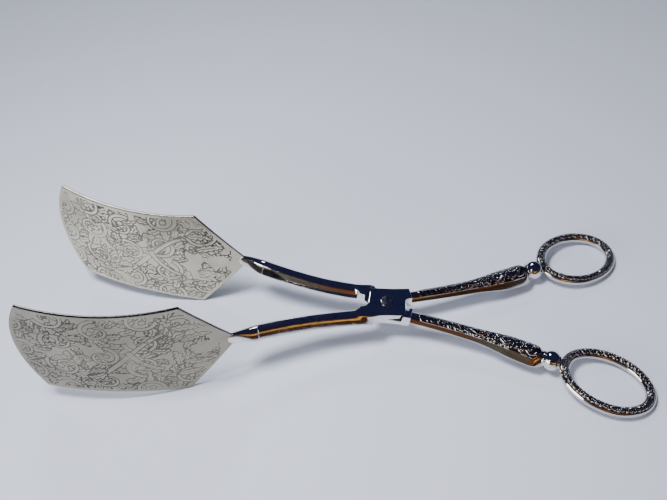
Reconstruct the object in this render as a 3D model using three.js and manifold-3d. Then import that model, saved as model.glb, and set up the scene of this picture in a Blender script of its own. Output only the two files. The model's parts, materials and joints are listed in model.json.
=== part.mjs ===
// Scissor-action serving tongs of silver-plated metal: two arms cross at a riveted half-lap
// joint, with an oval finger ring on one end of each arm and a broad bowed blade on the other.
// Millimetres. The arms are drawn in their own plane (X towards the rings, Z up along the
// rivet), then the whole tool is tipped so that it stands on its blades and rings at Z = 0.
import * as THREE from 'three';
import { mergeVertices } from 'three/addons/utils/BufferGeometryUtils.js';
import Module from 'manifold-3d';

const wasm = await Module();
wasm.setup();

// ---------------------------------------------------------------- driving dimensions
const GAP = 0.3; // clearance wherever two pieces meet
const OVERSHOOT = 2; // how far a cutting solid runs past what it cuts
const REST_TILT = THREE.MathUtils.degToRad(8.71); // from the arms' plane to the table, rings down

const HUB = { halfLength: 7.4, halfWidth: 6.7, corner: 2.7, top: 3.15, bevel: 0.3 };
const LAP_RADIUS = 9.4; // outside this circle round the rivet an arm has its full thickness
const CROTCH = { radius: 3.2, centre: -11 }; // rounded fork between the two shanks
const RIVET = { shank: 1.7, head: 2.7, headDepth: 1, proud: 0.15, tail: 2.3, tailHeight: 0.8 };
const BURR = { radius: 3.4, thickness: 0.7, chamfer: 0.2 };

const SHANK = { radius: 3.15, inside: [-7.4, 6.15], bend: [-29.5, 8.4], end: [-51.6, 16.7] };
const SHANK_JOIN = 0.12; // how far along the shank's curve the hub's outline meets it
const ARMPIT = 1.1; // how far the hub's free edge swells into the shank
const STUB = { radius: 2.5, end: 9.8 }; // the lug that carries the handle, X of its end
const TANG = { radius: 1.3, length: 12 }; // pin of the arm inside the handle
const HANDLE = {
  start: [4, 3.78],
  startSlope: 0.229,
  end: [60.4, 21.7],
  endSlope: 0.455,
  rise: 1.7, // how far its far end stands above the arms' plane
  // fraction of the length, half width, half height
  sections: [
    [0, 2.8, 2.45],
    [0.3, 3.05, 2.6],
    [0.55, 3.55, 2.7],
    [0.78, 4.9, 2.9],
    [0.9, 5.1, 2.9],
  ],
  tipHalfWidth: 2.6,
  tipHalfHeight: 2.08,
  fullness: 0.82, // 1 would give an elliptical section
};
const KNOP = { ball: 3.3, reel: 2.25, reelWidth: 0.75, chamfer: 0.2 };
const RING = { centre: [83.6, 31], long: 18.4, short: 13.75, band: 4, height: 4.2, fullness: 0.85 };
const RING_TURN = 0.4; // radians, the ring's long axis away from the tongs' own axis
const RING_RISE = 2.3;

const BLADE = {
  thickness: 1.2,
  bow: 119, // radius, both blades bow towards -Y so that they nest when closed
  tang: 5,
  tangHalf: 1.5,
  flareAt: 0.85, // the tang runs on this far before the sides flare out
  shoulderAt: 20.3,
  shoulderHalf: 27,
  tipAt: 77.6,
  tipHalf: 26.4,
  waist: 1.5, // how far each long edge curves in between shoulder and tip
  tipBulge: 7.1,
};
const SOCKET = { reach: 3.4, waistHalfHeight: 2.75, tipHalfWidth: 1.3, tipHalfHeight: 2.9 };

// The two arms: side is the sign of Y at the blade, level the half of the lap that its hub takes,
// and heading the blade root's direction in radians from -X towards +Y.
const ARMS = [
  { name: 'upper', side: -1, level: 1, root: [-58.8, -19.6], heading: -0.465 },
  { name: 'lower', side: 1, level: -1, root: [-58.8, 19.6], heading: -0.19 },
];

// ---------------------------------------------------------------- materials
const silver = (name, colour, roughness) =>
  new THREE.MeshStandardMaterial({ name, color: colour, roughness, metalness: 1 });

// ---------------------------------------------------------------- geometry helpers
const UP = new THREE.Vector3(0, 0, 1);
const { lerp, clamp } = THREE.MathUtils;
const plan = ([x, y], z = 0) => new THREE.Vector3(x, y, z);
const swell = (unit, power) => Math.sign(unit) * Math.abs(unit) ** power;

// Moves each vertex of a closed unit geometry to its place, and welds the seams.
function reshape(geometry, place) {
  geometry.deleteAttribute('normal');
  geometry.deleteAttribute('uv');
  const welded = mergeVertices(geometry, 1e-5);
  const position = welded.getAttribute('position');
  const point = new THREE.Vector3();
  for (let i = 0; i < position.count; i += 1) {
    const placed = place(point.fromBufferAttribute(position, i).clone());
    position.setXYZ(i, placed.x, placed.y, placed.z);
  }
  welded.computeVertexNormals();
  return welded;
}

// A rod along a curve. size(s) gives its half width and half height at fraction s, and a
// fullness under 1 makes its round section squarer.
function rod(curve, size, { sides = 20, steps = 20, fullness = 1, from = 0, to = 1 } = {}) {
  return reshape(new THREE.CylinderGeometry(1, 1, 1, sides, steps), (unit) => {
    const s = unit.y + 0.5;
    const t = lerp(from, to, s);
    const along = curve.getTangent(t);
    const across = along.clone().cross(UP).normalize();
    const upward = across.clone().cross(along);
    const [halfWidth, halfHeight] = size(s);
    return curve
      .getPoint(t)
      .addScaledVector(across, halfWidth * swell(unit.x, fullness))
      .addScaledVector(upward, halfHeight * swell(unit.z, fullness));
  });
}

function solid(geometry) {
  const bare = geometry.clone();
  bare.deleteAttribute('normal');
  bare.deleteAttribute('uv');
  const welded = mergeVertices(bare, 1e-4);
  return new wasm.Manifold(
    new wasm.Mesh({
      numProp: 3,
      vertProperties: welded.getAttribute('position').array,
      triVerts: new Uint32Array(welded.index.array),
    }),
  );
}

function surface(body) {
  const { vertProperties, triVerts } = body.getMesh();
  const geometry = new THREE.BufferGeometry();
  geometry.setAttribute('position', new THREE.BufferAttribute(vertProperties, 3));
  geometry.setIndex(new THREE.BufferAttribute(triVerts, 1));
  geometry.computeVertexNormals();
  return geometry;
}

// A disc or pin on the rivet's axis, from its profile of [radius, z] points.
function turned(profile, sides = 32) {
  const points = profile.map(([radius, z]) => new THREE.Vector2(radius, z));
  return new THREE.LatheGeometry(points, sides).rotateX(Math.PI / 2);
}

const pin = (radius, low, high) =>
  turned([
    [0, low],
    [radius, low],
    [radius, high],
    [0, high],
  ]);

// ---------------------------------------------------------------- curves of an arm
const mirrored = ([x, y], side) => [x, y * side];

function shankCurve(side) {
  const [inside, bend, end] = [SHANK.inside, SHANK.bend, SHANK.end].map((p) =>
    plan(mirrored(p, side)),
  );
  return new THREE.QuadraticBezierCurve3(inside, bend, end);
}

// The handle lies on the other side of the rivet from its own arm's blade.
function handleCurve(side) {
  const start = plan(mirrored(HANDLE.start, -side));
  const end = plan(mirrored(HANDLE.end, -side), HANDLE.rise);
  const third = (end.x - start.x) / 3;
  const leave = new THREE.Vector3(third, -side * third * HANDLE.startSlope, 0);
  const arrive = new THREE.Vector3(-third, side * third * HANDLE.endSlope, -HANDLE.rise / 2);
  return new THREE.CubicBezierCurve3(start, leave.add(start), arrive.add(end), end);
}

// The fraction of a curve at which it reaches a given X.
function fractionAt(curve, x) {
  let [low, high] = [0, 1];
  const rising = curve.getPoint(1).x > curve.getPoint(0).x;
  while (high - low > 1e-6) {
    const middle = (low + high) / 2;
    if (curve.getPoint(middle).x < x === rising) low = middle;
    else high = middle;
  }
  return low;
}

// ---------------------------------------------------------------- pieces
// The middle of an arm in plan, for an arm whose blade is on the -Y side: a flat square with two
// free corners rounded, flared into the shank and the handle lug at the other two.
function hubOutline(side) {
  const { halfLength: x, halfWidth: y, corner: r } = HUB;
  const shank = shankCurve(-1);
  const shankIn = shank.getPoint(SHANK_JOIN);
  const handle = handleCurve(-1);
  const lugEnd = fractionAt(handle, STUB.end);
  const lug = handle.getPoint(lugEnd);
  const flank = handle.getTangent(lugEnd).cross(UP).multiplyScalar(-STUB.radius);
  const outline = new THREE.Path();
  outline.moveTo(-x, y - r);
  outline.absarc(r - x, y - r, r, Math.PI, Math.PI / 2, true);
  outline.quadraticCurveTo(x / 2, y, lug.x + flank.x, lug.y + flank.y);
  outline.lineTo(lug.x - flank.x, lug.y - flank.y);
  outline.quadraticCurveTo(x, lug.y - flank.y, x, 0);
  outline.lineTo(x, r - y);
  outline.absarc(x - r, r - y, r, 0, -Math.PI / 2, true);
  outline.quadraticCurveTo(0, -y, -x, -y - ARMPIT);
  outline.lineTo(shankIn.x, shankIn.y);
  outline.lineTo(CROTCH.centre, -CROTCH.radius);
  outline.absarc(CROTCH.centre, 0, CROTCH.radius, -Math.PI / 2, 0, false);
  const points = outline.getPoints(5).map((p) => new THREE.Vector2(p.x, -side * p.y));
  return new THREE.Shape(points);
}

// Shank, half-lap hub and handle tang in one forging.
function armForging({ side, level }) {
  const { top, bevel } = HUB;
  const hub = new THREE.ExtrudeGeometry(hubOutline(side), {
    depth: 2 * (top - bevel),
    bevelSize: bevel,
    bevelOffset: -bevel,
    bevelThickness: bevel,
    bevelSegments: 1,
  });
  hub.translate(0, 0, bevel - top);
  const shank = rod(shankCurve(side), () => [SHANK.radius, SHANK.radius], { steps: 14 });
  const handle = handleCurve(side);
  const stubEnd = fractionAt(handle, STUB.end);
  const tangEnd = fractionAt(handle, STUB.end + TANG.length);
  const stub = rod(handle, () => [STUB.radius, STUB.radius], { to: stubEnd, steps: 2 });
  const tang = rod(handle, () => [TANG.radius, TANG.radius], {
    sides: 12,
    from: stubEnd / 2,
    to: tangEnd,
    steps: 4,
  });
  // the half that the other arm's hub turns in
  const beyond = top + OVERSHOOT;
  const lap = level > 0 ? pin(LAP_RADIUS, -beyond, GAP / 2) : pin(LAP_RADIUS, -GAP / 2, beyond);
  const blank = [shank, stub, tang].reduce((sum, piece) => sum.add(solid(piece)), solid(hub));
  return surface(blank.subtract(solid(lap)).subtract(solid(rivetHole(level))));
}

function handleGrip(side) {
  const curve = handleCurve(side);
  const from = fractionAt(curve, STUB.end + GAP);
  const profile = (column) =>
    new THREE.SplineCurve(HANDLE.sections.map((row) => new THREE.Vector2(row[0], row[column])));
  const [widths, heights] = [profile(1), profile(2)];
  const last = HANDLE.sections.at(-1)[0];
  const size = (s) => {
    if (s <= last) return [widths, heights].map((line) => line.getPoint(s / last).y);
    // a quarter ellipse rounds the wide end down to the knop
    const drop = Math.sqrt(1 - ((s - last) / (1 - last)) ** 2);
    const [, wide, high] = HANDLE.sections.at(-1);
    return [lerp(HANDLE.tipHalfWidth, wide, drop), lerp(HANDLE.tipHalfHeight, high, drop)];
  };
  const grip = rod(curve, size, { steps: 26, fullness: HANDLE.fullness, from });
  const bore = rod(curve, () => [TANG.radius + GAP, TANG.radius + GAP], {
    sides: 12,
    from: fractionAt(curve, STUB.end - OVERSHOOT),
    to: fractionAt(curve, STUB.end + TANG.length + GAP),
    steps: 6,
  });
  return surface(solid(grip).subtract(solid(bore)));
}

// A ball between two narrow reels, turned about its own Y.
function knop(length) {
  const { ball, reel, reelWidth, chamfer } = KNOP;
  const half = length / 2;
  const neck = Math.acos((half - reelWidth) / ball); // where the ball stops at a reel
  const profile = [new THREE.Vector2(0, -half)];
  profile.push(new THREE.Vector2(reel - chamfer, -half));
  profile.push(new THREE.Vector2(reel, reelWidth / 2 - half));
  const steps = 10;
  for (let i = 0; i <= steps; i += 1) {
    const angle = lerp(Math.PI - neck, neck, i / steps);
    profile.push(new THREE.Vector2(ball * Math.sin(angle), ball * Math.cos(angle)));
  }
  profile.push(new THREE.Vector2(reel, half - reelWidth / 2));
  profile.push(new THREE.Vector2(reel - chamfer, half));
  profile.push(new THREE.Vector2(0, half));
  return new THREE.LatheGeometry(profile, 20);
}

// An oval ring of even band width, with a squarish section.
function fingerRing() {
  const [long, short] = [RING.long - RING.band / 2, RING.short - RING.band / 2];
  const major = 3;
  return reshape(new THREE.TorusGeometry(major, 1, 10, 48), (unit) => {
    const turn = Math.atan2(unit.y, unit.x);
    const outward = new THREE.Vector3(Math.cos(turn) / long, Math.sin(turn) / short, 0).normalize();
    const across = clamp(Math.hypot(unit.x, unit.y) - major, -1, 1);
    return new THREE.Vector3(long * Math.cos(turn), short * Math.sin(turn), 0)
      .addScaledVector(outward, (RING.band / 2) * swell(across, RING.fullness))
      .addScaledVector(UP, (RING.height / 2) * swell(clamp(unit.z, -1, 1), RING.fullness));
  });
}

// Where the blade runs in plan: a circular bow from its root, and before it the tang, which
// points straight at the shank's end.
function bladePlace({ side, root, heading }, s) {
  const [endX, endY] = mirrored(SHANK.end, side);
  const tangHeading = Math.atan2(root[1] - endY, endX - root[0]);
  const bowed = heading + Math.max(s, 0) / BLADE.bow;
  const back = Math.min(s, 0);
  const x = root[0] - BLADE.bow * (Math.sin(bowed) - Math.sin(heading));
  const y = root[1] - BLADE.bow * (Math.cos(bowed) - Math.cos(heading));
  const facing = lerp(bowed, tangHeading, clamp(0.5 - s, 0, 1));
  return {
    point: plan([x - back * Math.cos(tangHeading), y + back * Math.sin(tangHeading)]),
    along: plan([-Math.cos(facing), Math.sin(facing)]),
    across: plan([Math.sin(facing), Math.cos(facing)]),
  };
}

// The flat pattern from tang end (0) to tip (1): distance along, half height, and how far the
// middle of the sheet stands beyond its edges.
const BLADE_ROWS = { tang: 2, slant: 6, body: 12 };
function bladeRow(u) {
  const { tang, slant, body } = BLADE_ROWS;
  const row = u * (tang + slant + body);
  if (row <= tang) {
    return { s: lerp(-BLADE.tang, 0, row / tang), half: BLADE.tangHalf, bulge: 0 };
  }
  if (row <= tang + slant) {
    const part = (row - tang) / slant;
    const half = lerp(BLADE.tangHalf, BLADE.shoulderHalf, part);
    return { s: lerp(BLADE.flareAt, BLADE.shoulderAt, part), half, bulge: 0 };
  }
  const part = (row - tang - slant) / body;
  const waist = BLADE.waist * 4 * part * (1 - part);
  const half = lerp(BLADE.shoulderHalf, BLADE.tipHalf, part) - waist;
  return { s: lerp(BLADE.shoulderAt, BLADE.tipAt, part), half, bulge: BLADE.tipBulge * part };
}

// extra grows the sheet on every side, for cutting the socket's slot.
function bladeSheet(arm, extra = 0) {
  const rows = BLADE_ROWS.tang + BLADE_ROWS.slant + BLADE_ROWS.body;
  return reshape(new THREE.BoxGeometry(1, 1, 1, rows, 10, 1), (unit) => {
    const { s, half, bulge } = bladeRow(unit.x + 0.5);
    const share = 2 * unit.y;
    const grown = unit.x < -0.49 ? -extra : 0;
    const { point, across } = bladePlace(arm, s + grown + bulge * (1 - share ** 2));
    return point
      .addScaledVector(across, unit.z * (BLADE.thickness + 2 * extra))
      .addScaledVector(UP, share * (half + extra));
  });
}

// The tapered neck that carries the blade: round at the shank, a thin fork at the blade.
function bladeSocket(arm) {
  const shank = shankCurve(arm.side);
  const start = shank.getPoint(1).addScaledVector(shank.getTangent(1), GAP);
  const root = bladePlace(arm, -BLADE.tang / 2);
  const reach = bladePlace(arm, SOCKET.reach);
  const curve = new THREE.CatmullRomCurve3([
    start,
    root.point,
    bladePlace(arm, 0).point,
    reach.point,
  ]);
  const size = (s) => {
    const ease = s * s * (3 - 2 * s);
    const waist = Math.sin(Math.PI * s) * (SHANK.radius - SOCKET.waistHalfHeight);
    return [
      lerp(SHANK.radius, SOCKET.tipHalfWidth, ease),
      lerp(SHANK.radius, SOCKET.tipHalfHeight, ease) - waist,
    ];
  };
  const neck = rod(curve, size, { steps: 12 });
  return surface(solid(neck).subtract(solid(bladeSheet(arm, GAP))));
}

// ---------------------------------------------------------------- the pivot
function rivetHole(level) {
  const straight = RIVET.shank + GAP;
  if (level < 0) return pin(straight, -HUB.top - OVERSHOOT, OVERSHOOT);
  const seat = HUB.top - RIVET.headDepth;
  return turned([
    [0, -OVERSHOOT],
    [straight, -OVERSHOOT],
    [straight, seat - GAP],
    [RIVET.head + GAP, HUB.top],
    [RIVET.head + GAP, HUB.top + OVERSHOOT],
    [0, HUB.top + OVERSHOOT],
  ]);
}

// Countersunk head on top, peened tail under the burr.
function rivet() {
  const tailTop = -HUB.top - BURR.thickness - 2 * GAP;
  const headTop = HUB.top + RIVET.proud;
  return turned([
    [0, tailTop - RIVET.tailHeight],
    [RIVET.tail * 0.6, tailTop - RIVET.tailHeight * 0.85],
    [RIVET.tail, tailTop - RIVET.tailHeight * 0.3],
    [RIVET.tail, tailTop],
    [RIVET.shank, tailTop],
    [RIVET.shank, HUB.top - RIVET.headDepth],
    [RIVET.head, HUB.top],
    [RIVET.head * 0.6, headTop - RIVET.proud * 0.2],
    [0, headTop],
  ]);
}

function rivetBurr() {
  const inner = RIVET.shank + GAP;
  const top = -HUB.top - GAP;
  return turned([
    [inner, top - BURR.thickness],
    [BURR.radius - BURR.chamfer, top - BURR.thickness],
    [BURR.radius, top - BURR.thickness / 2],
    [BURR.radius, top],
    [inner, top],
    [inner, top - BURR.thickness],
  ]);
}

// ---------------------------------------------------------------- assembly
const tongs = new THREE.Group();

function add(name, geometry, material) {
  const mesh = new THREE.Mesh(geometry, material);
  mesh.name = name;
  tongs.add(mesh);
  return mesh;
}

for (const arm of ARMS) {
  const { name, side } = arm;
  const blade = silver(`${name}_blade_plate`, 0xb5aea2, 0.38);
  const polished = silver(`${name}_polished_plate`, 0xc9c6c4, 0.12);
  const oxidised = silver(`${name}_oxidised_plate`, 0x8d857c, 0.3);
  add(`${name}_blade`, bladeSheet(arm), blade);
  add(`${name}_blade_socket`, bladeSocket(arm), polished.clone());
  add(`${name}_arm`, armForging(arm), polished);
  add(`${name}_handle_grip`, handleGrip(side), oxidised);

  const ringSide = -side;
  const ring = add(`${name}_finger_ring`, fingerRing(), oxidised.clone());
  ring.position.set(RING.centre[0], ringSide * RING.centre[1], RING_RISE);
  ring.rotation.z = ringSide * RING_TURN;

  // The knop spans from the handle's end to the ring's near edge.
  const handle = handleCurve(side);
  const nearEdge = new THREE.Vector3(-RING.long, 0, 0).applyEuler(ring.rotation);
  const ringEdge = nearEdge.add(ring.position);
  const lie = ringEdge.clone().sub(handle.getPoint(1));
  const ball = add(`${name}_knop`, knop(lie.length() - 2 * GAP), polished.clone());
  ball.position.copy(handle.getPoint(1)).add(ringEdge).multiplyScalar(0.5);
  ball.quaternion.setFromUnitVectors(new THREE.Vector3(0, 1, 0), lie.normalize());
}

add('pivot_rivet', rivet(), silver('rivet_plate', 0xb9b4ad, 0.25));
add('rivet_burr', rivetBurr(), silver('burr_plate', 0xaaa69f, 0.3));

// Tip the arms' plane to its resting angle, and stand the tool on Z = 0 at its middle.
const standing = new THREE.Group();
tongs.rotation.y = REST_TILT;
standing.add(tongs);
standing.updateMatrixWorld(true);
const box = new THREE.Box3().setFromObject(standing, true);
const middle = box.getCenter(new THREE.Vector3());
tongs.position.set(-middle.x, -middle.y, -box.min.z);

export default standing;
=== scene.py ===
"""Scissor-action serving tongs of silver plate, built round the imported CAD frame.

Every piece is shaped in the arms' own plane in millimetres (X towards the finger rings, Z up
along the rivet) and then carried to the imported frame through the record's pivot joint.
"""
import itertools
import json
import math

import bpy
import numpy as np
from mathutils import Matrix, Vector

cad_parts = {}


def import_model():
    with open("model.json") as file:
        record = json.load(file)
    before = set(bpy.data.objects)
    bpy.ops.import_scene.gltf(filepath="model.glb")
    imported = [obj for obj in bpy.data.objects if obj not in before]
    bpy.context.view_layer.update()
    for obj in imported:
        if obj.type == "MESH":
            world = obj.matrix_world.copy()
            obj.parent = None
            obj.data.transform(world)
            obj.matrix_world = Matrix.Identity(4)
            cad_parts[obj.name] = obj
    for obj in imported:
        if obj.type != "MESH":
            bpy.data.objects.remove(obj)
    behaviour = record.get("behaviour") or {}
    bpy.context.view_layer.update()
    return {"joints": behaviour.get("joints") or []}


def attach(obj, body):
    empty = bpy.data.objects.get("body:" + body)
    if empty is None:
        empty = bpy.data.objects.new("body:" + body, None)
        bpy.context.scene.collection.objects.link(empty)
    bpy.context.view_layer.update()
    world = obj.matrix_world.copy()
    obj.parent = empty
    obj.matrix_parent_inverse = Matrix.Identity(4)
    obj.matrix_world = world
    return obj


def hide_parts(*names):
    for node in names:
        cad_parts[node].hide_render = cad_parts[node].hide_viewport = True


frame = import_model()

# ---------------- dimensions, mm
# the CAD's, apart from LAP_GAP, KNOP and the blade's thickness
MM = 0.001
HUB = {"half_length": 7.4, "half_width": 6.7, "corner": 2.7, "top": 3.15}
SHANK_JOIN = 0.12  # how far along the shank's curve the hub's outline meets it
ARMPIT = 1.1  # how far the hub's free edge swells into the shank
LAP_RADIUS = 9.4  # outside this circle round the rivet an arm has its full thickness
LAP_GAP = 0.1
CROTCH = {"radius": 3.2, "centre": -11.0}  # rounded fork between the two shanks
RIVET = {"shank": 1.7, "head": 2.7, "head_depth": 1.0, "proud": 0.15, "tail": 2.3, "tail_height": 0.8}
BURR = {"radius": 3.4, "thickness": 0.7, "soft": 0.35, "bevel": 0.08}
PIN_PLAY = 0.05  # between the rivet's shank and the holes that it passes
SEAT_GAP = 0.04  # between the hubs and what lies on them
SHANK = {"radius": 3.15, "inside": (-7.4, 6.15), "bend": (-29.5, 8.4), "end": (-51.6, 16.7)}
LUG = {"radius": 2.5, "end": 9.8}  # the stub that carries the handle, and X of its end
HANDLE = {
    "start": (4.0, 3.78), "start_slope": 0.229, "end": (60.4, 21.7), "end_slope": 0.455,
    "rise": 1.7, "at": (0, 0.3, 0.55, 0.78, 0.9), "half_width": (2.8, 3.05, 3.55, 4.9, 5.1),
    "half_height": (2.45, 2.6, 2.7, 2.9, 2.9), "tip": (2.6, 2.08),
}
KNOP = {"ball": 3.95, "centre": 0.22, "reel": 2.6, "reel_width": 0.65, "collar": 3.2,
        "collar_width": 1.0, "softest": 0.45}
RING = {"centre": (83.6, 31.0), "long": 18.4, "short": 13.75, "band": 4.0, "height": 4.2,
        "turn": 0.4, "rise": 2.3}
BLADE = {"half_thickness": 0.56, "bow": 119.0, "tang": 5.0, "tang_half": 1.5, "flare_at": 0.85,
         "shoulder_at": 20.3, "shoulder_half": 27.0, "tip_at": 77.6, "tip_half": 26.4,
         "waist": 1.5, "tip_bulge": 7.1}
SOCKET = {"reach": 3.4, "waist": 2.75, "tip_half_width": 1.3, "tip_half_height": 2.9}
# side: sign of Y at the blade; level: which half of the lap the hub takes; long_rim: how dark
# the blade's long edges are, where 1 is as dark as its other edges
UPPER = {"name": "upper", "side": -1, "level": 1, "root": (-58.8, -19.6), "heading": -0.465,
         "seed": 11, "long_rim": 1.0}
LOWER = {"name": "lower", "side": 1, "level": -1, "root": (-58.8, 19.6), "heading": -0.19,
         "seed": 23, "long_rim": 0.35}

JOINT = frame["joints"][0]
PIVOT = np.array(JOINT["pos_m"])
AXIS = np.array(JOINT["axis"])
ARM_AXES = np.array([[AXIS[2], 0, -AXIS[0]], [0, 1, 0], AXIS])
UP = np.array([0, 0, 1.0])


# ---------------- small maths
def smoothstep(low, high, value):
    part = np.clip((value - low) / (high - low), 0, 1)
    return part * part * (3 - 2 * part)


def smooth_min(a, b, k):
    h = np.clip(0.5 + 0.5 * (b - a) / k, 0, 1)
    return b + (a - b) * h - k * h * (1 - h)


def smooth_max(a, b, k):
    return -smooth_min(-a, -b, k)


def swell(unit, power):
    return np.sign(unit) * np.abs(unit) ** power


def unit_rows(vectors):
    return vectors / np.linalg.norm(vectors, axis=-1, keepdims=True)


def compass(angle):
    """Unit vectors in the plane at the given angles."""
    return np.stack([np.cos(angle), np.sin(angle)], axis=-1)


def left_of(vectors):
    """Plane vectors turned a quarter turn to the left."""
    return np.stack([-vectors[..., 1], vectors[..., 0]], axis=-1)


def run_along(path):
    """Distance along a polyline at each of its points."""
    return np.concatenate([[0], np.cumsum(np.linalg.norm(np.diff(path, axis=0), axis=1))])


def follow(run, path, at):
    """Points at the given distances along a polyline."""
    return np.stack([np.interp(at, run, path[:, k]) for k in range(path.shape[1])], axis=1)


def resample(path, spacing):
    """A polyline's points at an even spacing."""
    path = np.asarray(path, float)
    run = run_along(path)
    count = max(int(run[-1] / spacing), 1) + 1
    return follow(run, path, np.linspace(0, run[-1], count))


def bezier(t, *handles):
    """A Bezier curve of any degree at the parameters t."""
    points = [np.broadcast_to(np.asarray(h, float), (len(t), len(h))) for h in handles]
    while len(points) > 1:
        points = [a + (b - a) * t[:, None] for a, b in zip(points, points[1:])]
    return points[0]


def arc(centre, radius, start, end, count=9, endpoint=True):
    return np.asarray(centre) + radius * compass(np.linspace(start, end, count, endpoint=endpoint))


def sides_of(loop):
    """The start and end of each side of a closed outline."""
    return zip(loop, np.roll(loop, -1, axis=0))


def inside_loop(x, y, loop):
    """Which places lie inside a closed outline."""
    inside = np.zeros(x.shape, bool)
    for (x0, y0), (x1, y1) in sides_of(loop):
        if y0 != y1:
            inside ^= ((y0 > y) != (y1 > y)) & (x < x0 + (y - y0) * (x1 - x0) / (y1 - y0))
    return inside


# ---------------- mesh helpers
def add_object(name, data):
    thing = bpy.data.objects.new(name, data)
    bpy.context.scene.collection.objects.link(thing)
    return thing


def signed_volume(points, quads):
    a, b, c, d = (points[quads[:, k]] for k in range(4))
    return (np.einsum("ij,ij->i", a, np.cross(b, c)) + np.einsum("ij,ij->i", a, np.cross(c, d))).sum()


def build_piece(name, points, quads, triangles=(), normals=None, **values):
    """A smooth-shaded object from arm-plane points, with its faces turned outwards."""
    quads = np.asarray(quads, int)
    triangles = np.asarray(triangles, int).reshape(-1, 3)
    if signed_volume(points, quads) < 0:
        quads, triangles = quads[:, ::-1], triangles[:, ::-1]
    mesh = bpy.data.meshes.new(name)
    placed = PIVOT + (points * MM) @ ARM_AXES
    mesh.from_pydata(placed.tolist(), [], quads.tolist() + triangles.tolist())
    for label, value in values.items():
        layer = mesh.attributes.new(label, "FLOAT", "POINT")
        layer.data.foreach_set("value", np.asarray(value, np.float32))
    mesh.shade_smooth()
    if normals is not None:
        mesh.normals_split_custom_set_from_vertices((normals @ ARM_AXES).tolist())
    return add_object(name, mesh)


def place(piece, arm_name, node, material):
    """Gives a piece its material and the body it rides on, and hides the CAD node it stands for."""
    piece.data.materials.append(material["node"])
    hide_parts(node)
    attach(piece, f"{arm_name}_half")


def grid_quads(rows, columns, across=False, along=False):
    """Faces of a sheet of points, whose edges may be joined up across it and along it."""
    r, c = (v.ravel() for v in np.meshgrid(np.arange(rows if along else rows - 1),
                                           np.arange(columns if across else columns - 1),
                                           indexing="ij"))
    ahead, right = (r + 1) % rows, (c + 1) % columns
    return np.stack([r * columns + c, r * columns + right, ahead * columns + right,
                     ahead * columns + c], axis=1)


def build_tube(name, rings, **values):
    """A piece from rings of points, drawn in at both ends to a centre, where every value is 1."""
    rows, columns = rings.shape[:2]
    first = rows * columns
    c = np.arange(columns)
    right = (c + 1) % columns
    base = first - columns
    near = np.stack([np.full(columns, first), right, c], axis=1)
    far = np.stack([np.full(columns, first + 1), base + c, base + right], axis=1)
    points = np.concatenate([rings.reshape(-1, 3), [rings[0].mean(0), rings[-1].mean(0)]])
    values = {label: np.append(value, [1, 1]) for label, value in values.items()}
    return build_piece(name, points, grid_quads(rows, columns, across=True),
                       np.concatenate([near, far]), **values)


# ---------------- arched sections
ARCH = {"foot": 0.45, "foot_power": 0.4, "top_points": 84, "low_points": 40}


def under_side(count):
    """Angles round the lower half of a section, without its two ends."""
    return np.linspace(np.pi, 2 * np.pi, count + 2)[1:-1]


def arched_section(half_width, top, base):
    """Section outlines (across, up), a row each: a parabolic arch on a shallow rounded foot."""
    half_width, top, base = (v[:, None] for v in np.broadcast_arrays(half_width, top, base))
    u = np.linspace(1, -1, ARCH["top_points"])
    foot = swell(compass(under_side(ARCH["low_points"])), ARCH["foot_power"])
    x = np.concatenate([half_width * u, half_width * foot[:, 0]], axis=1)
    z = np.concatenate([top - (top - base) * u * u, base + ARCH["foot"] * foot[:, 1]], axis=1)
    return x, z


def push_out(x, z, height):
    """Moves closed section outlines outwards, square to themselves."""
    dx = np.roll(x, -1, axis=1) - np.roll(x, 1, axis=1)
    dz = np.roll(z, -1, axis=1) - np.roll(z, 1, axis=1)
    size = np.maximum(np.hypot(dx, dz), 1e-9)
    return x + dz / size * height, z - dx / size * height


def frames_along(path):
    """Across and upward directions of a nearly level path."""
    along = unit_rows(np.gradient(path, axis=0))
    across = unit_rows(np.cross(along, UP))
    return across, np.cross(across, along)


def rings_along(path, across, upward, x, z):
    """The points of a section outline at each point of a path."""
    return path[:, None] + across[:, None] * x[..., None] + upward[:, None] * z[..., None]


# ---------------- ornament
NEIGHBOURS = ((1, 0), (-1, 0), (0, 1), (0, -1), (1, 1), (-1, -1), (1, -1), (-1, 1))


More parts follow.
